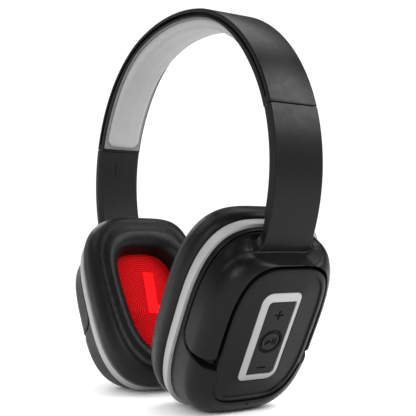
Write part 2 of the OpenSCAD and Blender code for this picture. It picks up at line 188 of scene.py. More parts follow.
def inset_table(a, b, back=None, front_top=CUP_N, back_low=CUP_N, step=0.3):
    """How far inside a superellipse each point lies. Its half width may differ at the back, and
    the front top and back bottom corners may be fuller."""
    x, y = np.meshgrid(np.arange(-42, 42, step), np.arange(-60, 60, step), indexing="ij")
    wide = np.where(x < 0, back or a, a)
    n = np.where((x > 0) & (y > 0), front_top, np.where((x < 0) & (y < 0), back_low, CUP_N))
    low, high = np.full(x.shape, -14.0), np.full(x.shape, min(a, b, back or a) - 0.4)
    for _ in range(36):
        m = (low + high) / 2
        out = (np.abs(x) / (wide - m)) ** n + (np.abs(y) / (b - m)) ** n > 1
        high, low = np.where(out, m, high), np.where(out, low, m)
    return (low + high) / 2, step


def look_up(table, u, v):
    t, step = table
    x = np.clip((u + 42) / step, 0, t.shape[0] - 1.001)
    y = np.clip((v + 60) / step, 0, t.shape[1] - 1.001)
    i, j = x.astype(int), y.astype(int)
    x, y = x - i, y - j
    return (t[i, j] * (1 - x) * (1 - y) + t[i + 1, j] * x * (1 - y)
            + t[i, j + 1] * (1 - x) * y + t[i + 1, j + 1] * x * y)


def soft(x, a, b):
    t = np.clip((x - a) / (b - a), 0, 1)
    return t * t * (3 - 2 * t)


B0 = CUP_B - SIDE_IN
cup_table = inset_table(CUP_A - SIDE_IN, B0)
full_table = inset_table(CUP_A - SIDE_IN, B0, front_top=CORNER_N)
face_table = inset_table(FACE_A, FACE_B, FACE_BACK, FACE_N, FACE_N)


def envelope(u, v, h):
    """Field of the cup's outer surface. The side is straight with a round rim round a flat face;
    under the arm its top stands back, so that the arm's face ends against a step."""
    foot = FOOT_IN * np.maximum(h - RING_H, 0) / FOOT_H
    head = HEAD_IN * soft(h, 8.0, 15.6) * (1 - soft(u, 12, 27)) * (1 - 0.5 * soft(-u, 6, 28))
    scaled = np.where(v < 0, v * B0 / (B0 - foot), v * B0 / (B0 - head))
    i = look_up(cup_table, u, scaled)
    full = 1 - 0.65 * soft(h, 12, 23)
    i = i + full * (look_up(full_table, u, scaled) - i)
    step = soft(v, 28, 40) * (1 - soft(-u, 2, 24)) * (1 - soft(u, 10, 27))
    rim = RIM_R + (STEP_R - RIM_R) * step
    i = i - 0.13 * np.maximum(h - 15.6, 0) * step
    qx, qy = rim - i, h - (ARC_H + RIM_R - rim)
    return np.hypot(np.maximum(qx, 0), np.maximum(qy, 0)) + np.minimum(np.maximum(qx, qy), 0) - rim


def face_field(u, v):
    return -look_up(face_table, u, v - FACE_V)


LEG_LOW, LEG_IN, LEG_OUT = -6.8, 7.5, 4.5


def leg_field(v, h):
    """Below zero beside and above the end of a leg, seen from the side."""
    top = 26.6 + 0.15 * np.maximum(v, 0)
    mid, half = (YOKE_H + top) / 2, (top - YOKE_H) / 2
    r = np.where(h < mid, LEG_IN, LEG_OUT)
    return rounded(r, np.abs(h - mid) - half, LEG_LOW - v)


FLARE_BACK, FLARE_FRONT = 5.2, 4.5


def yoke_field(u, v, h):
    e = envelope(u, v, h)
    edge = face_field(u, v) - YOKE_GAP
    shell = smax(smax(e, -(e + YOKE_T), 0.5), leg_field(v, h), 0.8)
    shell = smax(shell, YOKE_H - h, 0.7)
    shell = smax(shell, -edge, 0.5)
    bevel_h = 25.2
    shell = smax(shell, (h - bevel_h - edge) * 0.707, 0.35)
    x = CUP[0] + v * UP[0] + h * OUT[0] - SIDE_C[0]
    z = CUP[2] + v * UP[2] + h * OUT[2] - SIDE_C[1]
    y = u - BAND_Y
    depth = SIDE_R - np.hypot(x, z)
    turn = np.arctan2(x, z)
    r = np.where(y < 0, FLARE_BACK, FLARE_FRONT)
    near = np.clip(r - e, 0, r)
    half_w = BAND_W / 2 + r - np.sqrt(r * r - near * near)
    half_t = (BAND_T - COVER_T) / 2
    arm = rounded(0.45, np.abs(depth - half_t) - half_t, np.abs(y) - half_w)
    arm = smax(arm, (SEAM + SEAM_GAP - turn) * SIDE_R, 0.5)
    arm = smax(arm, (turn - ARM_END) * SIDE_R, 0.5)
    arm = smax(arm, -(e + YOKE_T), 0.4)
    bar_half, bar_top = 7.2, 2.7
    pocket = np.maximum(np.abs(y) - bar_half, bar_top - depth)
    pocket = np.maximum(pocket, (turn - SEAM - math.radians(14.4)) * SIDE_R)
    arm = smax(arm, -pocket, 0.3)
    return smin(shell, arm, 0.35)


NOTCH_GAP, NOTCH_H, NOTCH_V, NOTCH_SLOPE = 0.8, 15.5, -7.6, 0.34


def housing_field(right):
    def field(u, v, h):
        e = envelope(u, v, h)
        line = NOTCH_V - (h - NOTCH_H) * NOTCH_SLOPE
        cut = np.minimum(leg_field(v, h) - NOTCH_GAP, smax(line - v, NOTCH_H - h, 1.5))
        outer = smax(smax(e, -cut, 1.0), RING_H - h, 0.4)
        recess, wall, roof = 4.1, 2.0, 22.4
        core = smax(smax(e + recess, h - (roof + 1.6), 0.6), RING_H - h, 0.4)
        lip_mid, lip_half = 6.1, 1.35
        lip = rounded(0.3, e, np.abs(h - lip_mid) - lip_half)
        body = smin(smin(outer, core, 0.5), lip, 0.3)
        seat = face_field(u, v) - 0.05
        body = smax(body, -np.maximum(seat, roof + 1.6 - h), 0.3)
        hollow = np.minimum(np.maximum(e + wall, -(cut - wall)), e + recess + wall)
        body = smax(body, -smax(hollow, h - roof, 0.5), 0.4)
        window = np.maximum(np.abs(u) - 7, np.abs(v - FRAME_V) - 17.5)
        if right:
            body = np.maximum(body, -np.maximum(window, roof - 2 - h))
            mic = np.hypot(u, v - MIC_V) - 0.55
            body = smax(body, -np.maximum(mic, 20 - h), 0.25)
            port = rounded(1.6, np.abs(u - 9) - 4.6, np.abs(h - 10) - 1.7)
            body = smax(body, -np.maximum(port, v + 36), 0.4)
        else:
            jack = np.hypot(u - 11, h - 10.5) - 3.2
            body = smax(body, -np.maximum(jack, v + 36), 0.4)
        floor = CUP[2] + v * UP[2] + h * OUT[2]
        return smax(body, -floor, 0.5)
    return field


def frame_box(u, v, gx, gy):
    """Field of the control frame's outline grown by gx at the sides and gy at the ends."""
    x, y = u, v - FRAME_V
    r = np.maximum(np.where(x * y < 0, FRAME_R, PAD_R) + max(gx, gy), 0.5)
    return rounded(r, np.abs(x) - FRAME_W / 2 - gx, np.abs(y) - FRAME_L / 2 - gy)


PAD_GX, PAD_GY = -3.05, -3.75
PAD_TOP = 28.0


def plate_bar(x, y, half_x, half_y):
    return np.maximum(np.abs(x) - half_x, np.abs(y) - half_y)


def rocker_field(u, v, h):
    crown = 0.25 * (np.abs(v - FRAME_V) / 18) ** 2
    top = PAD_TOP - crown
    body = smax(frame_box(u, v, PAD_GX, PAD_GY), h - top, 0.5)
    body = smax(body, 25.8 - h, 0.2)
    body = smax(body, BUTTON_R + 0.3 - np.hypot(u, v - BUTTON_V), 0.4)
    arm, stroke, groove = 2.2, 0.42, 0.8
    for k in (-13.6, 13.3):
        sign = plate_bar(u, v - BUTTON_V - k, arm, stroke)
        if k > 0:
            sign = np.minimum(sign, plate_bar(u, v - BUTTON_V - k, stroke, arm))
        body = smax(body, -np.maximum(sign, top - groove - h), 0.12)
    return body


def button_field(u, v, h):
    x, y = u, v - BUTTON_V
    top = PAD_TOP + 0.05
    r = np.hypot(x, y)
    body = smax(smax(r - BUTTON_R, h - top, 0.35), 25.8 - h, 0.2)
    body = smax(body, -np.maximum(np.abs(r - BUTTON_R + 0.75) - 0.42, top - 0.9 - h), 0.15)
    sign = np.maximum(-2.7 - x, (x + 1.0) * 0.53 + np.abs(y) * 0.85 - 0.72)
    for k in (1.15, 2.45):
        sign = np.minimum(sign, plate_bar(x - k, y, 0.36, 1.55))
    return smax(body, -np.maximum(sign, top - 0.6 - h), 0.1)


def panel_field(u, v, h):
    body = smax(frame_box(u, v, PAD_GX, PAD_GY), h - PAD_TOP + 0.25 * (np.abs(v - FRAME_V) / 18) ** 2, 0.5)
    return smax(body, 25.4 - h, 0.2)


# ---------------------------------------------------------------- pieces


def piece(name, points, faces, body, material, nodes=(), normals=None, sharp=None,
          mirror=False, row=False):
    """Makes one piece from millimetre points in the cup's frame, or in the row frame if row."""
    points = np.asarray(points, float)
    if not row:
        points = to_world(points)
        normals = None if normals is None else turn_world(normals)
    points[:, 2] = np.maximum(points[:, 2], 0)
    faces = [list(map(int, f)) for f in faces]
    if mirror:
        points = points * [-1, 1, 1]
        normals = None if normals is None else normals * [-1, 1, 1]
        faces = [f[::-1] for f in faces]
    me = bpy.data.meshes.new(name)
    me.from_pydata((points * MM).tolist(), [], faces)
    me.update()
    me.shade_smooth()
    if normals is not None:
        me.normals_split_custom_set_from_vertices(normals.tolist())
    elif sharp is not None:
        me.set_sharp_from_angle(angle=math.radians(sharp))
    ob = bpy.data.objects.new(name, me)
    bpy.context.scene.collection.objects.link(ob)
    me.materials.append(material)
    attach(ob, body)
    if nodes:
        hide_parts(*nodes)
    return ob


def both(name, points, faces, part, material, node=None, normals=None, sharp=None, row=False):
    """The same piece on both sides, the left one mirrored."""
    return [
        piece(f"{side}_{name}", points, faces, f"{side}_{part}", material,
              [f"{side}_{node}"] if node else (), normals, sharp, side == "left", row)
        for side in ("right", "left")
    ]


def spow(t, n):
    return np.sign(t) * np.abs(t) ** (2 / n)


def oval(a, top, low, back=None, front_top=CUP_N, back_low=CUP_N, count=160, taper=0.0, mid=0.0):
    """Points of a superellipse; taper narrows its lower end."""
    t = np.linspace(0, 2 * math.pi, count, endpoint=False)
    s, c = np.sin(t), np.cos(t)
    c[np.abs(c) < 1e-12] = 0
    s[np.abs(s) < 1e-12] = 0
    n = np.where((c > 0) & (s > 0), front_top, np.where((c < 0) & (s < 0), back_low, CUP_N))
    v = np.where(s > 0, top, low) * spow(s, n)
    u = np.where(c < 0, back or a, a) * spow(c, n) * (1 + taper * v / low)
    return np.stack([u, v + mid], 1)


def frame_loop(gx, gy, count=160):
    """Points of the control frame's outline, matched by corner with oval()."""
    hx, hy = FRAME_W / 2 + gx, FRAME_L / 2 + gy
    pts = []
    per = count // 4
    for q, (sx, sy) in enumerate(((1, 1), (-1, 1), (-1, -1), (1, -1))):
        r = max((FRAME_R if sx * sy < 0 else BEZEL_R) + max(gx, gy), 0.9)
        for k in range(per):
            t = k / per
            if q % 2:
                t = 1 - t
            a = max(0.0, min(1.0, (t - 0.33) / 0.34)) * math.pi / 2
            x, y = hx - r + r * math.cos(a), hy - r + r * math.sin(a)
            if t < 0.33:
                y = (hy - r) * t / 0.33
            if t > 0.67:
                x = (hx - r) * (1 - t) / 0.33
            pts.append((sx * x, sy * y + FRAME_V))
    return np.array(pts)


def loft(loops, close=False):
    """Quads through loops of (points, height); closed on itself or open at both ends with caps."""
    n = len(loops[0][0])
    pts = np.concatenate([np.column_stack([p, np.broadcast_to(h, n)]) for p, h in loops])
    faces = []
    m = len(loops)
    for i in range(m if close else m - 1):
        a, b = i * n, (i + 1) % m * n
        faces += [(a + k, a + (k + 1) % n, b + (k + 1) % n, b + k) for k in range(n)]
    if not close:
        faces.append(tuple(range(n))[::-1])
        faces.append(tuple((m - 1) * n + k for k in range(n)))
    return pts, faces


def round_poly(corner_list, steps=4):
    """Polygon with each corner (x, y, radius) rounded."""
    pts = []
    n = len(corner_list)
    for i, (x, y, r) in enumerate(corner_list):
        p = np.array([x, y])
        a = np.array(corner_list[i - 1][:2]) - p
        b = np.array(corner_list[(i + 1) % n][:2]) - p
        la, lb = np.linalg.norm(a), np.linalg.norm(b)
        a, b = a / la, b / lb
        half = math.acos(max(-1, min(1, a @ b))) / 2
        back = min(r / math.tan(half), la / 2, lb / 2)
        r = back * math.tan(half)
        centre = p + (a + b) / np.linalg.norm(a + b) * r / math.sin(half)
        v0, v1 = p + a * back - centre, p + b * back - centre
        a0 = math.atan2(v0[1], v0[0])
        d = (math.atan2(v1[1], v1[0]) - a0 + math.pi) % (2 * math.pi) - math.pi
        for k in range(steps + 1):
            t = a0 + d * k / steps
            pts.append(centre + r * np.array([math.cos(t), math.sin(t)]))
    return np.array(pts)


def band_at(phi, depth):
    """X and Z of a point of the band, phi from the crown towards +X, depth below its surface."""
    s = np.sign(phi)
    a = np.abs(phi)
    crown = a <= CROWN_ANG
    r = np.where(crown, CROWN_R, SIDE_R) - depth
    x = np.where(crown, CROWN_C[0], SIDE_C[0]) + r * np.sin(a)
    z = np.where(crown, CROWN_C[1], SIDE_C[1]) + r * np.cos(a)
    return np.where(s < 0, -1, 1) * x, z


SLIM_AT = 3.3


def slimness(t):
    """How far the inner frame's thickness is kept; a third is left at the crown."""
    return 0.32 + 0.68 * soft(abs(t), 0.35, 1.0)


def sweep(section, a0, a1, step=1.2, end=0.22, slim=False):
    """A section of (y, depth) points carried along the band, its ends slightly rounded."""
    section = np.asarray(section, float)
    middle = (section.max(0) + section.min(0)) / 2
    half = (section.max(0) - section.min(0)) / 2
    count = max(4, int(abs(math.degrees(a1 - a0)) / step))
    turns = [(t, 0.0) for t in np.linspace(a0, a1, count + 1)]
    d = end / SIDE_R
    turns = [(a0, end), (a0 + d * 0.3, end * 0.3), (a0 + d, 0.0)] + turns[1:-1]
    turns += [(a1 - d, 0.0), (a1 - d * 0.3, end * 0.3), (a1, end)]
    pts = []
    for t, inset in turns:
        s = middle + (section - middle) * (1 - inset / half)
        if slim:
            s[:, 1] = np.where(s[:, 1] > SLIM_AT, SLIM_AT + (s[:, 1] - SLIM_AT) * slimness(t), s[:, 1])
        x, z = band_at(np.full(len(s), t), s[:, 1])
        pts.append(np.column_stack([x, s[:, 0] + BAND_Y, z]))
    n, m = len(section), len(turns)
    faces = [(i * n + k, i * n + (k + 1) % n, (i + 1) * n + (k + 1) % n, (i + 1) * n + k)
             for i in range(m - 1) for k in range(n)]
    faces += [tuple(range(n))[::-1], tuple((m - 1) * n + k for k in range(n))]
    pts = np.concatenate(pts)
    area = np.sum(section[:, 0] * np.roll(section[:, 1], -1) - section[:, 1] * np.roll(section[:, 0], -1))
    if area > 0:
        faces = [f[::-1] for f in faces]
    return pts, faces


def join(*parts):
    pts, faces, n = [], [], 0
    for p, f in parts:
        pts.append(p)
        faces += [tuple(i + n for i in q) for q in f]
        n += len(p)
    return np.concatenate(pts), faces


# ---------------------------------------------------------------- materials


def material(name, color, rough, bumps=(), metallic=0.0, spec=0.5,
             vary=0.12, rough_vary=0.05, patch=9.0, painted_ridge_shade=None, painted_glow=0.0):
    """Procedural material: colour and roughness drift in patches, and fine relief from bumps.
    bumps are (kind, size mm, height mm, strength). A darker colour mixed in from a point attribute paints shade
    into the valleys of ridges, and an emission strength paints a glow."""
    m = bpy.data.materials.new(name)
    m.use_nodes = True
    nt = m.node_tree
    bsdf = nt.nodes["Principled BSDF"]
    coord = nt.nodes.new("ShaderNodeTexCoord").outputs["Object"]

    def noise(size, detail=3.0):
        n = nt.nodes.new("ShaderNodeTexNoise")
        n.inputs["Scale"].default_value = 1 / (size * MM)
        n.inputs["Detail"].default_value = detail
        nt.links.new(coord, n.inputs["Vector"])
        return n.outputs["Fac"]

    drift = noise(patch)
    mix = nt.nodes.new("ShaderNodeMix")
    mix.data_type = "RGBA"
    mix.inputs["A"].default_value = (*[c * (1 - vary) for c in color], 1)
    mix.inputs["B"].default_value = (*[min(1, c * (1 + vary)) for c in color], 1)
    nt.links.new(drift, mix.inputs["Factor"])
    base = mix.outputs["Result"]
    # A point attribute, 1 on the ridge crests and 0 in the valleys, mixes in a darker colour towards the valleys:
    # painted shade in the cloth's grooves.
    if painted_ridge_shade:
        att = nt.nodes.new("ShaderNodeAttribute")
        att.attribute_name = "painted_ridge_shade"
        shade = nt.nodes.new("ShaderNodeMix")
        shade.data_type = "RGBA"
        shade.inputs["A"].default_value = (*painted_ridge_shade, 1)
        nt.links.new(att.outputs["Fac"], shade.inputs["Factor"])
        nt.links.new(base, shade.inputs["B"])
        base = shade.outputs["Result"]
    nt.links.new(base, bsdf.inputs["Base Color"])
    spread = nt.nodes.new("ShaderNodeMapRange")
    spread.inputs["From Min"].default_value = 0.3
    spread.inputs["From Max"].default_value = 0.7
    spread.inputs["To Min"].default_value = rough - rough_vary
    spread.inputs["To Max"].default_value = rough + rough_vary
    nt.links.new(noise(patch * 0.35), spread.inputs["Value"])
    nt.links.new(spread.outputs["Result"], bsdf.inputs["Roughness"])
    last = None
    for kind, size, height, strength in bumps:
        if kind == "cells":
            t = nt.nodes.new("ShaderNodeTexVoronoi")
            t.inputs["Scale"].default_value = 1 / (size * MM)
            nt.links.new(coord, t.inputs["Vector"])
            out = t.outputs["Distance"]
        else:
            out = noise(size, 2.0)
        b = nt.nodes.new("ShaderNodeBump")
        b.inputs["Strength"].default_value = strength
        b.inputs["Distance"].default_value = height * MM
        nt.links.new(out, b.inputs["Height"])
        if last:
            nt.links.new(last, b.inputs["Normal"])
        last = b.outputs["Normal"]
    if last:
        nt.links.new(last, bsdf.inputs["Normal"])
    bsdf.inputs["Metallic"].default_value = metallic
    bsdf.inputs["Specular IOR Level"].default_value = spec
    # Emission in the base colour paints a glow onto the surface, as if it were lit; it is no lamp.
    if painted_glow:
        bsdf.inputs["Emission Color"].default_value = (*color, 1)
        bsdf.inputs["Emission Strength"].default_value = painted_glow
    return m


GRAIN = (("noise", 0.22, 0.012, 0.35), ("noise", 1.8, 0.01, 0.2))
LEATHER = (("cells", 0.75, 0.05, 0.35), ("noise", 0.3, 0.02, 0.4), ("noise", 5.0, 0.12, 0.35))
M = {
    "shell_black": material("satin_black_plastic", (0.0025, 0.0025, 0.0027), 0.36, GRAIN, spec=0.13),
    "inner_black": material("matt_black_plastic", (0.0045, 0.0045, 0.0047), 0.50, GRAIN, spec=0.13),
    "button_black": material("control_black_plastic", (0.0045, 0.0045, 0.0047), 0.46, GRAIN, spec=0.14),
    "pad_grey": material("grey_leatherette", (0.23, 0.23, 0.235), 0.55,
                         (("cells", 0.6, 0.03, 0.25), ("noise", 0.25, 0.015, 0.3)), vary=0.04),
    "rim_grey": material("grey_piping", (0.115, 0.115, 0.118), 0.6,
                         (("noise", 0.3, 0.02, 0.3),), vary=0.05),
    "leatherette": material("black_leatherette", (0.003, 0.003, 0.0032), 0.42, LEATHER, spec=0.15),
    "silver": material("satin_silver_paint", (0.265, 0.265, 0.269), 0.45,
                       (("noise", 0.12, 0.006, 0.3),), metallic=0.3, vary=0.04),
    # Red cloth: the dark colour given after the bumps is painted shade for the valleys between its ridges.
    "red_cloth": material("red_ribbed_cloth", (0.62, 0.004, 0.007), 0.8,
                          (("cells", 0.35, 0.06, 0.5), ("noise", 0.2, 0.04, 0.4)), spec=0.05,
                          painted_ridge_shade=(0.10, 0.0005, 0.001), vary=0.1),
    # Red print: its emission is a painted glow that keeps it bright where it lies in shade.
    "red_print": material("red_print_painted_glow", (1.0, 0.004, 0.005), 0.6,
                          (("cells", 0.35, 0.04, 0.3),), vary=0.02, spec=0.03, painted_glow=0.3),
    "steel": material("brushed_steel", (0.45, 0.45, 0.46), 0.32,
                      (("noise", 0.15, 0.01, 0.3),), metallic=1.0),
    "screw_steel": material("plated_steel", (0.4, 0.4, 0.41), 0.28, (("noise", 0.3, 0.01, 0.3),),
                            metallic=1.0),
    "wire_sheath": material("wire_sheath", (0.05, 0.05, 0.05), 0.6, (("noise", 0.4, 0.02, 0.3),)),
    "inside_plastic": material("inside_plastic", (0.05, 0.05, 0.052), 0.5, GRAIN),
    "magnet_steel": material("plated_magnet", (0.6, 0.6, 0.62), 0.2, (("noise", 0.5, 0.01, 0.2),),
                             metallic=1.0),
    "diaphragm_film": material("diaphragm_film", (0.25, 0.24, 0.2), 0.25,
                               (("noise", 1.0, 0.05, 0.3),)),
    "board_green": material("solder_mask", (0.02, 0.16, 0.07), 0.35, (("noise", 0.6, 0.02, 0.3),)),
    "battery_foil": material("battery_foil", (0.55, 0.55, 0.57), 0.35,
                             (("noise", 2.5, 0.1, 0.4),), metallic=0.9),
    "jack_metal": material("socket_metal", (0.55, 0.55, 0.53), 0.25, (("noise", 0.4, 0.01, 0.2),),
                           metallic=1.0),
}

# ---------------------------------------------------------------- padding


def puff(points, faces, voxel, cap, pinned, pressure=4.0, smooth=6):
    """Swells a padded shape with Blender's cloth, worked at ten times its size, and returns it
    with one subdivision. Points are row-frame millimetres; pinned says which points stay."""
    grow = 10 * MM
    me = bpy.data.meshes.new("puff")
    me.from_pydata((np.asarray(points) * grow).tolist(), [], [tuple(map(int, f)) for f in faces])
    ob = bpy.data.objects.new("puff", me)
    scene = bpy.context.scene
    scene.collection.objects.link(ob)
    remesh = ob.modifiers.new("remesh", "REMESH")
    remesh.mode = "VOXEL"
    remesh.voxel_size = voxel * grow
    relax = ob.modifiers.new("relax", "SMOOTH")
    relax.iterations = smooth
    start = bpy.data.meshes.new_from_object(ob.evaluated_get(bpy.context.evaluated_depsgraph_get()))
    ob.modifiers.clear()
    ob.data = start
    rest = np.array([v.co for v in start.vertices])
    group = ob.vertex_groups.new(name="held")
    group.add([int(i) for i in np.flatnonzero(pinned(rest / grow))], 1.0, "REPLACE")
    cloth = ob.modifiers.new("cloth", "CLOTH")
    s = cloth.settings
    s.quality = 5
    s.use_pressure = True
    s.uniform_pressure_force = pressure
    s.vertex_group_mass = "held"
    s.effector_weights.gravity = 0
    s.bending_stiffness = 0.8
    last = 20
    cloth.point_cache.frame_start, cloth.point_cache.frame_end = 1, last
    for f in range(1, last + 1):
        scene.frame_set(f)
    done = ob.evaluated_get(bpy.context.evaluated_depsgraph_get()).data
    swollen = np.array([v.co for v in done.vertices])
    move = swollen - rest
    length = np.linalg.norm(move, axis=1)[:, None]
    limit = cap * grow
    move *= limit * np.tanh(length / limit) / np.maximum(length, 1e-9)
    ob.modifiers.clear()
    start.vertices.foreach_set("co", (rest + move).ravel())
    start.update()
    scene.frame_set(1)
    relax = ob.modifiers.new("relax", "SMOOTH")
    relax.iterations = 3
    ob.modifiers.new("fine", "SUBSURF").levels = 1
    out = bpy.data.meshes.new_from_object(ob.evaluated_get(bpy.context.evaluated_depsgraph_get()))
    pts = np.array([v.co for v in out.vertices]) / grow
    polys = [tuple(p.vertices) for p in out.polygons]
    bpy.data.objects.remove(ob)
    for m in (me, start, out):
        bpy.data.meshes.remove(m)
    return pts, polys


def to_cup(p):
    d = p - CUP
    return d[:, 1], d @ UP, d @ OUT


# ---------------------------------------------------------------- headband

side, lip, inner_lip = BAND_W / 2, 1.75, 1.9
shell_section = round_poly([
    (-side, lip, 0.15), (-side, 0, 0.5), (side, 0, 0.5), (side, lip, 0.15),
    (side - inner_lip, lip, 0.1), (side - inner_lip, 1.45, 0.1),
    (inner_lip - side, 1.45, 0.1), (inner_lip - side, lip, 0.1)])
block = round_poly([(10.0, 1.6, 0.1), (side - 0.25, 1.6, 0.1), (side - 0.25, 3.5, 0.1), (10.0, 3.5, 0.1)])
parts = [sweep(shell_section, -SEAM, SEAM)]
for s in (-1, 1):
    for k in (-1, 1):
        a, b = sorted((k * math.radians(70.8), k * (SEAM - 0.002)))
        parts.append(sweep(block * [s, 1], a, b, end=0.05))
pts, faces = join(*parts)
piece("headband_outer_shell", pts, faces, "headband", M["shell_black"],
      ["headband_shell"], sharp=38, row=True)

w = side - 0.4
rail_in, rail_out, rail_top, web = 9.6, 10.2, 1.5, 4.0
frame_section = round_poly([
    (-w, SLIM_AT, 0.15), (-w, BAND_T, 0.6), (w, BAND_T, 0.6), (w, SLIM_AT, 0.15),
    (rail_out, SLIM_AT, 0.1), (rail_out, rail_top, 0.1), (rail_in, rail_top, 0.1), (rail_in, web, 0.1),
    (-rail_in, web, 0.1), (-rail_in, rail_top, 0.1), (-rail_out, rail_top, 0.1), (-rail_out, SLIM_AT, 0.1)])
pts, faces = sweep(frame_section, -SEAM, SEAM, slim=True)
piece("headband_inner_frame", pts, faces, "headband", M["inner_black"],
      ["headband_frame"], sharp=38, row=True)

PAD_ANG, PAD_MID, CROWN_EXTRA = math.radians(71.2), 1.0, 0.5
ARC_LEN = CROWN_ANG * CROWN_R + (PAD_ANG - CROWN_ANG) * SIDE_R


def pad_solid(half_w, thick, corner, peak, grow_end=0.0, rings=150):
    """A strip with rounded corners lying under the band, peak a share that its middle stands up."""
    ring = [(-1, 0.0), (-1, 0.45), (-0.965, 0.78), (-0.89, 0.93)]
    ring += [(y, 0.97 + peak * (1 - abs(y) / 0.8)) for y in np.linspace(-0.8, 0.8, 17)]
    ring += [(0.89, 0.93), (0.965, 0.78), (1, 0.45), (1, 0.0)]
    ring += [(y, 0.0) for y in np.linspace(0.8, -0.8, 9)]
    ring = np.array(ring)
    end = ARC_LEN + grow_end
    places = np.concatenate([[0, 0.15, 0.4, 0.8, 1.4, 2.2, 3.2, 4.5, 6], np.linspace(8, 2 * end - 8, rings),
                             2 * end - np.array([6, 4.5, 3.2, 2.2, 1.4, 0.8, 0.4, 0.15, 0])]) - end
    pts = []
    for s in places:
        near = end - abs(s)
        d = max(0.0, corner - near)
        width = half_w - corner + math.sqrt(max(corner**2 - d**2, 0.3))
        e = max(0.0, 1.3 - near)
        t = thick * (0.35 + 0.65 * math.sqrt(max(0.0, 1 - (e / 1.3) ** 2)))
        arc = abs(s)
        phi = arc / CROWN_R if arc < CROWN_ANG * CROWN_R else CROWN_ANG + (arc - CROWN_ANG * CROWN_R) / SIDE_R
        base = SLIM_AT + (BAND_T - SLIM_AT) * slimness(phi)
        t += (BAND_T + CROWN_EXTRA - base) * (1 - soft(phi, 0.3, 1.0)) if thick > 1 else 0
        x, z = band_at(np.full(len(ring), math.copysign(phi, s)), base + ring[:, 1] * t)
        pts.append(np.column_stack([x, ring[:, 0] * width + BAND_Y, z]))
    n, m = len(ring), len(places)
    faces = [(i * n + k, i * n + (k + 1) % n, (i + 1) * n + (k + 1) % n, (i + 1) * n + k)[::-1]
             for i in range(m - 1) for k in range(n)]
    faces += [tuple(range(n)), tuple((m - 1) * n + k for k in range(n))[::-1]]
    return np.concatenate(pts), faces


def band_depth(p):
    """Depth below the band's outer surface of row-frame points."""
    x, z = np.abs(p[:, 0]), p[:, 2]
    d_crown = np.hypot(x - CROWN_C[0], z - CROWN_C[1])
    d_side = np.hypot(x - SIDE_C[0], z - SIDE_C[1])
    on_crown = np.arctan2(x, z - CROWN_C[1]) < CROWN_ANG
    return np.where(on_crown, CROWN_R - d_crown, SIDE_R - d_side), on_crown


def pad_base(p):
    """Height of row-frame points over the inner frame's face."""
    x, z = np.abs(p[:, 0]), p[:, 2]
    depth, on_crown = band_depth(p)
    phi = np.where(on_crown, np.arctan2(x, z - CROWN_C[1]), np.arctan2(x - SIDE_C[0], z - SIDE_C[1]))
    return depth - SLIM_AT - (BAND_T - SLIM_AT) * slimness(phi)


pts, faces = pad_solid(10.1, 2.3, 5.5, 0.10)
pts, faces = puff(pts, faces, 0.8, 0.5, lambda p: pad_base(p) < 0.7, smooth=2)
depth, on_crown = band_depth(pts)
centre = np.where(on_crown[:, None], CROWN_C, SIDE_C) * np.where(pts[:, :1] < 0, [-1, 1], [1, 1])
inward = centre - pts[:, [0, 2]]
inward /= np.linalg.norm(inward, axis=1)[:, None]
y = pts[:, 1] - BAND_Y
lift = np.clip(pad_base(pts) - 1.0, 0, 1) * (
    0.30 * np.exp(-np.abs(y - PAD_MID) / 4.0) - 0.10 * np.exp(-((np.abs(y) - 8.6) / 0.8) ** 2))
pts[:, [0, 2]] += inward * lift[:, None]
pad = piece("headband_cushion", pts, faces, "headband", M["pad_grey"],
            ["headband_pad"], row=True)
pts, faces = pad_solid(11.3, 0.5, 1.0, 0.0, grow_end=1.4)
piece("headband_cushion_piping", pts, faces, "headband", M["rim_grey"], sharp=50, row=True)

# ---------------------------------------------------------------- arms and yokes

CELL = 0.45
pts, faces, normals = net(yoke_field, (-33, -8.4, -12), (33, 102, 28), CELL)
both("yoke_body", pts, faces, "arm", M["shell_black"], "yoke", normals)
cover_w, chamfer = BAND_W / 2 - 0.3, 1.5
cover = round_poly([
    (-cover_w, BAND_T - COVER_T + 0.05, 0.1), (cover_w, BAND_T - COVER_T + 0.05, 0.1),
    (cover_w, BAND_T - 0.9, 0.2), (cover_w - chamfer, BAND_T, 0.3),
    (chamfer - cover_w, BAND_T, 0.3), (-cover_w, BAND_T - 0.9, 0.2)])
pts, faces = sweep(cover, SEAM + SEAM_GAP, math.radians(109))
both("arm_inner_panel", pts, faces, "arm", M["inner_black"], "arm_cover",
     sharp=25, row=True)

# ---------------------------------------------------------------- cup bodies

for name, right in (("right", True), ("left", False)):
    pts, faces, normals = net(housing_field(right), (-33, -49, 3.6), (33, 49, 28), CELL)
    piece(f"{name}_cup_body", pts, faces, f"{name}_cup", M["shell_black"],
          [f"{name}_housing"], normals, mirror=not right)


def ring_loop(g, h, count=200):
    return oval(CUP_A - g, CUP_B - g, CUP_B - g, front_top=CORNER_N, count=count), h


pts, faces = loft([ring_loop(0.55, 0.02), ring_loop(0.15, 0.14), ring_loop(0, 0.5),
                   ring_loop(-0.06, 2.4), ring_loop(0, RING_H - 0.5), ring_loop(0.15, RING_H - 0.14),
                   ring_loop(0.5, RING_H - 0.02), ring_loop(RING_T, RING_H - 0.02),
                   ring_loop(RING_T, 0.02)], close=True)
both("ring_band", pts, faces, "cup", M["silver"], "trim_ring", sharp=35)


def face_loop(g, h):
    return oval(FACE_A - g, FACE_B - g, FACE_B - g, FACE_BACK - g, FACE_N, FACE_N, mid=FACE_V), h


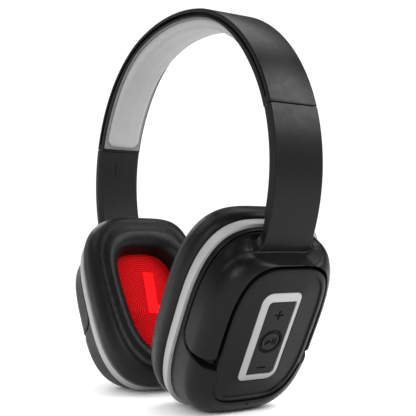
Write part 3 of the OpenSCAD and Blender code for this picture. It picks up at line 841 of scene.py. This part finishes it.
LIP_IN, PLATE_EDGE, PLATE_TOP = 2.2, 26.0, 27.05
loops = [face_loop(0, 24.05), face_loop(0, 25.7), face_loop(0.12, 26.05), face_loop(0.4, 26.25),
         face_loop(LIP_IN - 0.3, 26.62), face_loop(LIP_IN - 0.1, 26.62), face_loop(LIP_IN, 26.5),
         face_loop(LIP_IN + 0.2, PLATE_EDGE)]
outer, inner = face_loop(LIP_IN + 0.45, 0)[0], frame_loop(0.25, 0.25)
for k in np.linspace(0, 1, 8):
    loops.append((outer * (1 - k) + inner * k, PLATE_EDGE + (PLATE_TOP - PLATE_EDGE) * k))
loops += [(frame_loop(0.12, 0.12), PLATE_TOP - 0.12), (frame_loop(0.12, 0.12), 25.15),
          (frame_loop(-4.6, -5.2), 25.15), (frame_loop(-4.6, -5.2), 24.05)]
pts, faces = loft(loops, close=True)
both("face_cover", pts, faces, "cup", M["shell_black"], "faceplate", sharp=28)

loops = [(frame_loop(gx, gy), h) for gx, gy, h in (
    (0, 0, 25.2), (0, 0, 26.75), (-0.08, -0.08, 26.92), (-0.25, -0.25, 27.02),
    (-1.4, -1.7, 27.6), (-2.55, -3.25, 28.12), (-2.72, -3.42, 28.16), (-2.86, -3.56, 28.08),
    (-2.9, -3.6, 27.9), (-2.9, -3.6, 25.2))]
pts, faces = loft(loops, close=True)
both("control_bezel", pts, faces, "cup", M["silver"], "silver_frame", sharp=30)

FINE = 0.18
pts, faces, normals = net(rocker_field, (-8, FRAME_V - 19.5, 25.3), (8, FRAME_V + 19.5, 28.6), FINE)
piece("volume_pad", pts, faces, "right_rocker", M["button_black"],
      ["volume_rocker"], normals)
pts, faces, normals = net(button_field, (-6, BUTTON_V - 6, 25.3), (6, BUTTON_V + 6, 28.6), FINE * 0.7)
piece("play_button", pts, faces, "right_button", M["button_black"],
      ["center_button"], normals)
pts, faces, normals = net(panel_field, (-8, FRAME_V - 19.5, 24.9), (8, FRAME_V + 19.5, 28.6), FINE * 2)
piece("plain_inlay", pts, faces, "left_cup", M["button_black"],
      ["inlay_panel"], normals, mirror=True)

# ---------------------------------------------------------------- ear side

RIDGE_V, RIDGE_PITCH, RIDGE_H = -8.0, 1.25, 0.2
OPEN_TAPER = 0.10


def cover_height(u, v):
    """Height of the cloth over the speaker, without its ridges."""
    return -(3.7 + 2.2 * np.maximum(1 - (u / 23) ** 2 - (v / 36) ** 2, 0))


def open_loop(g, count=200):
    return oval(OPEN_A + g, OPEN_TOP + g, OPEN_LOW + g, count=count, taper=OPEN_TAPER)


edge = open_loop(3.2)
centre = np.array([0.0, RIDGE_V])
# Besides each loop's height, a per-point value is kept, 1 on the ridge crests and 0 in the valleys; the cloth's
# material uses it to paint shade into the valleys.
loops, painted_ridge_shade = [(edge, -2.25)], [np.zeros(len(edge))]
for k in np.linspace(1, 0.012, 150):
    p = centre + (edge - centre) * k
    r = np.hypot(*(p - centre).T)
    wave = np.cos(2 * math.pi * r / RIDGE_PITCH)
    painted_ridge_shade.append(0.5 + 0.5 * wave)
    loops.append((p, cover_height(*p.T) - RIDGE_H * wave * min(1, (1 - k) * 30)))
pts, faces = loft(loops)
faces = [f[::-1] for f in faces]
for ob in both("speaker_cloth", pts, faces, "cup", M["red_cloth"], "speaker_cover", sharp=60):
    ridge_shade_layer = ob.data.attributes.new("painted_ridge_shade", "FLOAT", "POINT")
    ridge_shade_layer.data.foreach_set("value", np.concatenate(painted_ridge_shade).astype(np.float32))


def letter_field(right):
    size = 25.4
    s = size * 0.25
    turn = math.radians(7)

    def field(u, v, h):
        x0, y0 = (-u if right else u) + 3, v + 8.5
        x = x0 * math.cos(turn) - y0 * math.sin(turn)
        y = x0 * math.sin(turn) + y0 * math.cos(turn)

        def box(x1, x2, y1, y2, r=0.15):
            return rounded(r, np.abs(x - (x1 + x2) / 2) - (x2 - x1) / 2,
                           np.abs(y - (y1 + y2) / 2) - (y2 - y1) / 2)

        if right:
            bar, r = s * 0.8, size * 0.29
            at_curve = x > size * 0.3
            curve = np.hypot(x - size * 0.3, y - size * 0.71) - r
            bowl = np.where(at_curve, curve, box(0, size * 0.35, size * 0.42, size))
            hole = np.where(at_curve, curve + bar, box(s, size * 0.35, size * 0.42 + bar, size - bar))
            slope = (x - size * 0.28 - s * 0.3) * 0.85 + (y - size * 0.45) * 0.53
            leg = np.maximum(np.abs(slope) - s * 0.46, np.maximum(-y, y - size * 0.5))
            flat = np.minimum(np.minimum(box(0, s, 0, size), np.maximum(bowl, -hole)), leg)
        else:
            flat = np.minimum(box(0, s, 0, size), box(0, size * 0.62, 0, s * 0.85))
        skin, thick = 0.35, 0.22
        return smax(flat, np.abs(h - cover_height(u, v) + skin) - thick, 0.2)
    return field


for name, right in (("right", True), ("left", False)):
    pts, faces, normals = net(letter_field(right), (-15, -14, -7.6), (15, 22, -3.2), 0.3)
    piece(f"{name}_side_letter", pts, faces, f"{name}_cup", M["red_print"],
          [f"{name}_side_mark"], normals, mirror=not right)

# The cushion's section: share of the way from the rim to the opening, and height.
profile = [(0.0, -0.45), (-0.09, -1.5), (-0.13, -4.2), (-0.125, -7.5), (-0.07, -11), (0.03, -14),
           (0.15, -16.1), (0.29, -17.2), (0.45, -17.5), (0.61, -17.5), (0.75, -17.2), (0.87, -16.2),
           (0.95, -14.2), (0.99, -11), (1.0, -7), (1.0, -3.7), (0.6, -3.7), (0.25, -3.7), (0.22, -0.45)]
rim, hole = oval(CUP_A - 0.5, CUP_B - 0.5, CUP_B - 0.5, front_top=CORNER_N, count=200), open_loop(0)
loops = [(rim + (hole - rim) * k, h) for k, h in reversed(profile)]
pts, faces = loft(loops, close=True)
pts, faces = puff(to_world(pts), faces, 1.3, 1.1, lambda p: to_cup(p)[2] > -3.9)
u, v, h = to_cup(pts)
table_out = inset_table(CUP_A, CUP_B, front_top=CORNER_N)
inside = look_up(table_out, u, v)
table_in = inset_table(OPEN_A, (OPEN_TOP + OPEN_LOW) / 2)
narrow = 1 + OPEN_TAPER * v / OPEN_LOW
outside = -look_up(table_in, u / narrow, v + (OPEN_LOW - OPEN_TOP) / 2)
share = inside / np.maximum(inside + outside, 1.0)
top = np.clip((-h - 12) / 4, 0, 1)
turn = np.arctan2(v, u)
valley = 0.9 * np.exp(-((share - 0.40) / 0.15) ** 2) * top
pucker = 0.07 * np.sin(turn * 61 + 2 * np.sin(turn * 7)) * np.exp(-((share - 0.9) / 0.12) ** 2)
pucker = pucker + 0.05 * np.sin(turn * 37 + 3 * np.sin(turn * 5)) * np.exp(-((share - 0.42) / 0.1) ** 2)
side_crease = 0.15 * np.exp(-((h + 7.4) / 1.6) ** 2) * np.clip(1 - share / 0.12, 0, 1)
pts = pts + OUT * (valley + pucker * top)[:, None]
flat_dir = (pts - CUP) - ((pts - CUP) @ OUT)[:, None] * OUT
pts = pts - flat_dir / np.linalg.norm(flat_dir, axis=1)[:, None] * side_crease[:, None]
for ob in both("cushion", pts, faces, "cup", M["leatherette"], "ear_cushion", row=True):
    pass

# ---------------------------------------------------------------- carried-over CAD nodes

for name, ob in frame["nodes"].items():
    slot_name = next(s["material_slot"] for s in frame["record"]["subparts"] if s["node"] == name)
    if ob.hide_render:
        continue
    if not ob.material_slots:
        ob.data.materials.append(M[slot_name])
    for ms in ob.material_slots:
        ms.material = M[slot_name]

# ---------------------------------------------------------------- studio

floor_me = bpy.data.meshes.new("floor")
half = 4.0
square = [(-half, -half, 0), (half, -half, 0), (half, half, 0), (-half, half, 0)]
floor_me.from_pydata(square, [], [(0, 1, 2, 3)])
floor = bpy.data.objects.new("floor", floor_me)
bpy.context.scene.collection.objects.link(floor)
floor_me.materials.append(material("pale_floor", (0.93, 0.93, 0.93), 0.8, vary=0.01, spec=0.2))

world = bpy.data.worlds.new("studio")
bpy.context.scene.world = world
world.use_nodes = True
nt = world.node_tree
nt.nodes.clear()
out = nt.nodes.new("ShaderNodeOutputWorld")
plain = nt.nodes.new("ShaderNodeBackground")
plain.inputs["Color"].default_value = (1, 1, 1, 1)
plain.inputs["Strength"].default_value = 1.12
glossy = nt.nodes.new("ShaderNodeBackground")
ramp = nt.nodes.new("ShaderNodeValToRGB")
ramp.color_ramp.elements[0].position = 0.61
ramp.color_ramp.elements[0].color = (0.9, 0.9, 0.9, 1)
ramp.color_ramp.elements[1].position = 0.72
ramp.color_ramp.elements[1].color = (0.03, 0.03, 0.03, 1)
coord = nt.nodes.new("ShaderNodeTexCoord")
split = nt.nodes.new("ShaderNodeSeparateXYZ")
height = nt.nodes.new("ShaderNodeMapRange")
height.inputs["From Min"].default_value = -1
path = nt.nodes.new("ShaderNodeLightPath")
pick = nt.nodes.new("ShaderNodeMixShader")
nt.links.new(coord.outputs["Generated"], split.inputs["Vector"])
nt.links.new(split.outputs["Z"], height.inputs["Value"])
nt.links.new(height.outputs["Result"], ramp.inputs["Fac"])
nt.links.new(ramp.outputs["Color"], glossy.inputs["Color"])
nt.links.new(path.outputs["Is Glossy Ray"], pick.inputs["Fac"])
nt.links.new(plain.outputs["Background"], pick.inputs[1])
nt.links.new(glossy.outputs["Background"], pick.inputs[2])
nt.links.new(pick.outputs["Shader"], out.inputs["Surface"])


def softbox(name, direction, distance, width, height, power):
    light = bpy.data.lights.new(name, "AREA")
    light.shape = "RECTANGLE"
    light.size, light.size_y = width, height
    light.energy = power
    ob = bpy.data.objects.new(name, light)
    bpy.context.scene.collection.objects.link(ob)
    d = Vector(direction).normalized()
    ob.location = Vector((0, 0, 0.1)) + d * distance
    ob.rotation_mode = "QUATERNION"
    ob.rotation_quaternion = d.to_track_quat("Z", "Y")
    return ob


softbox("key_light", (0.61, 0.53, 0.62), 1.0, 0.55, 0.55, 9.0)
softbox("top_light", (-0.16, 0.28, 0.94), 1.1, 0.75, 0.75, 5.5)
softbox("left_light", (-0.84, 0.07, 0.52), 1.0, 0.4, 0.4, 2.5)
softbox("side_light", (-0.37, -0.5, 0.75), 1.1, 0.45, 0.6, 2.0)
softbox("front_light", (0.58, -0.73, 0.36), 1.0, 0.4, 0.4, 4.0)

# ---------------------------------------------------------------- camera

azimuth, elevation, roll = math.radians(57.692), math.radians(-3.447), math.radians(-0.593)
camera_at = (0.348, -0.2065, 0.0699)
back = Vector((math.sin(azimuth) * math.cos(elevation), -math.cos(azimuth) * math.cos(elevation),
               math.sin(elevation)))
right = Vector((math.cos(azimuth), math.sin(azimuth), 0))
up = back.cross(right)
turned = right * math.cos(roll) + up * math.sin(roll)
risen = up * math.cos(roll) - right * math.sin(roll)
cam_data = bpy.data.cameras.new("camera")
cam_data.lens, cam_data.sensor_width = 69.2, 36.0
cam_data.clip_start, cam_data.clip_end = 0.01, 50
cam = bpy.data.objects.new("camera", cam_data)
bpy.context.scene.collection.objects.link(cam)
cam.matrix_world = Matrix((
    (turned.x, risen.x, back.x, camera_at[0]), (turned.y, risen.y, back.y, camera_at[1]),
    (turned.z, risen.z, back.z, camera_at[2]), (0, 0, 0, 1)))
bpy.context.scene.camera = cam
bpy.context.scene.view_settings.view_transform = "Standard"
